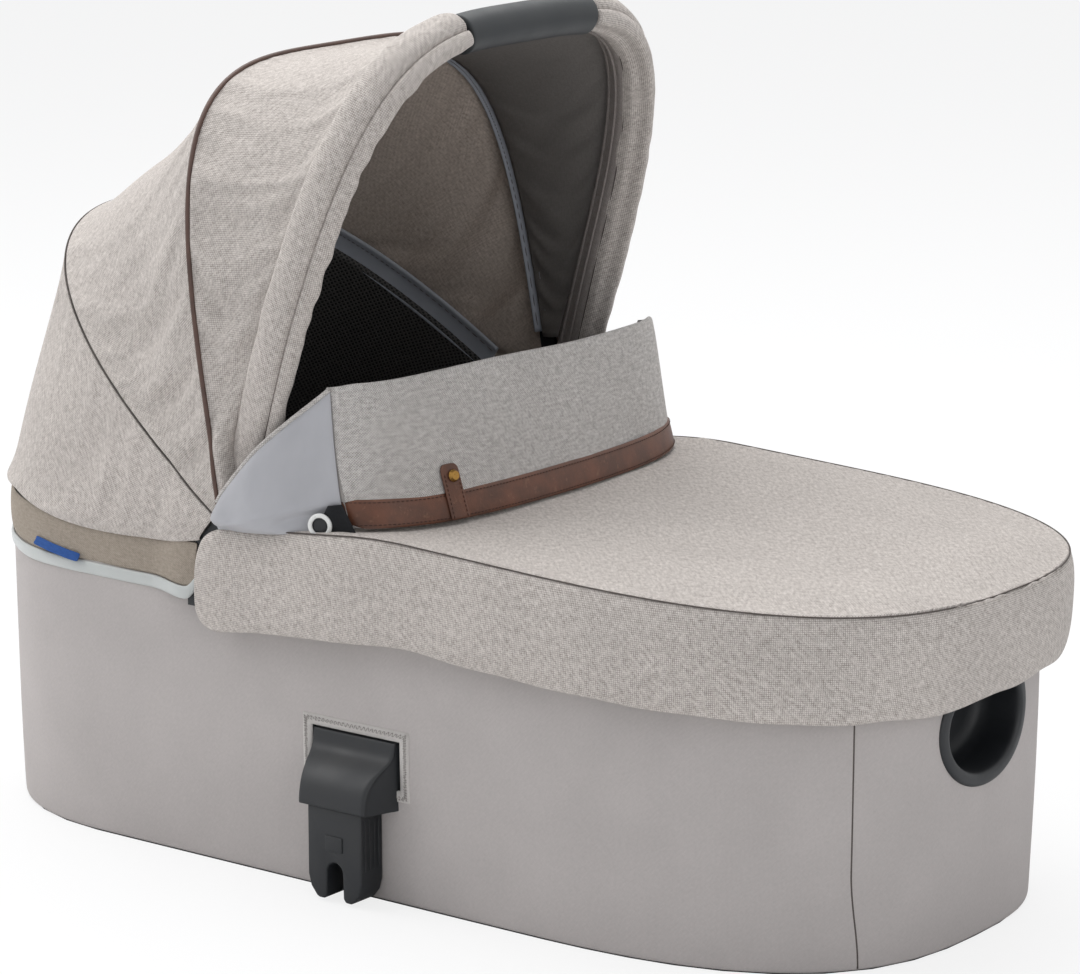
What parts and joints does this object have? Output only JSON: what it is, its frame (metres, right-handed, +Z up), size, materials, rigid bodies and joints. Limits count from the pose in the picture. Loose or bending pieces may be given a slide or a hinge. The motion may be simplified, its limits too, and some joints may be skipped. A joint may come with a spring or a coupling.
{
  "type": "carrycot",
  "caption": "Padded oval carrycot with a folding cloth hood on bows, a carry handle in the hood's rim, a buttoned wind flap and plug-in side adapters.",
  "frame": {"origin": "middle of the flat base, on the floor", "axes": "+X towards the foot end, +Y to the far side from the press-stud tab, +Z up"},
  "size_m": [0.897, 0.461, 0.6566],
  "materials": {
    "black_plastic": "fine matt grain",
    "shell_plastic": "matt",
    "aluminium": "satin",
    "steel": "zinc plated",
    "body_cloth": "plain twill weave",
    "hood_cloth": "melange plain weave",
    "band_cloth": "melange plain weave",
    "flap_cloth": "melange plain weave",
    "lining_cloth": "matt weave",
    "mattress_cloth": "cotton jersey",
    "mesh_net": "open net",
    "satin": "soft sheen",
    "leather": "smooth, stitched",
    "grip_foam": "matt",
    "brass": "aged",
    "white_plastic": "gloss",
    "tab_cloth": "woven ribbon"
  },
  "bodies": {
    "cot": {"base_tray": "black_plastic", "side_shell": "shell_plastic", "body_cover": "body_cloth", "body_lining": "lining_cloth", "rim_frame": "aluminium", "mattress": "mattress_cloth", "foot_cup": "black_plastic", "adapter_housing_l": "black_plastic", "adapter_housing_r": "black_plastic", "adapter_tongue_l": "black_plastic", "adapter_tongue_r": "black_plastic", "adapter_screw_l_head": "steel", "adapter_screw_l_foot": "steel", "adapter_screw_r_head": "steel", "adapter_screw_r_foot": "steel", "hinge_housing_l": "black_plastic", "hinge_housing_r": "black_plastic", "hinge_pin_l": "steel", "hinge_pin_r": "steel", "neck_band": "band_cloth", "neck_trim": "satin", "side_tab": "tab_cloth", "hood_neck_panel": "hood_cloth", "mesh_window": "mesh_net"},
    "rear_hood": {"rear_bow": "black_plastic", "hood_rear_panel": "hood_cloth"},
    "mid_hood": {"mid_bow": "black_plastic", "hood_front_panel": "hood_cloth", "front_lining": "lining_cloth"},
    "front_hood": {"front_bow": "aluminium", "carry_grip": "grip_foam", "rim_sleeve_l": "hood_cloth", "rim_sleeve_r": "hood_cloth"},
    "apron": {"apron_band": "hood_cloth", "apron_top": "hood_cloth", "flap_strip": "leather", "snap_tab": "leather", "tab_snap": "brass", "gusset_l": "satin", "gusset_r": "satin", "ring_snap_l": "white_plastic", "ring_snap_r": "white_plastic", "snap_core_l": "black_plastic", "snap_core_r": "black_plastic"},
    "flap": {"wind_flap": "flap_cloth"}
  },
  "joints": [
    {"name": "hood_rear", "type": "hinge", "parent": "cot", "child": "rear_hood", "pos_m": [-0.105, 0, 0.274], "axis": [0, -1, 0], "range_deg": [0, 25.7], "deforming": ["hood_neck_panel", "mesh_window"]},
    {"name": "hood_mid", "type": "hinge", "parent": "rear_hood", "child": "mid_hood", "pos_m": [-0.105, 0, 0.274], "axis": [0, -1, 0], "range_deg": [0, 34.3], "deforming": ["hood_rear_panel"]},
    {"name": "hood_front", "type": "hinge", "parent": "mid_hood", "child": "front_hood", "pos_m": [-0.105, 0, 0.274], "axis": [0, -1, 0], "range_deg": [0, 14], "deforming": ["hood_front_panel", "front_lining"]},
    {"name": "apron_pull", "type": "slide", "parent": "cot", "child": "apron", "axis": [1, 0, 0], "range_m": [0, 0.58]},
    {"name": "flap_fold", "type": "hinge", "parent": "apron", "child": "flap", "pos_m": [0.03, 0, 0.309], "axis": [0, 1, 0], "range_deg": [0, 60], "deforming": ["wind_flap", "gusset_l", "gusset_r"]}
  ],
  "couplings": [
    {"joint": "hood_mid", "follows": "hood_rear", "ratio": 1.3327},
    {"joint": "hood_front", "follows": "hood_rear", "ratio": 0.5428}
  ]
}
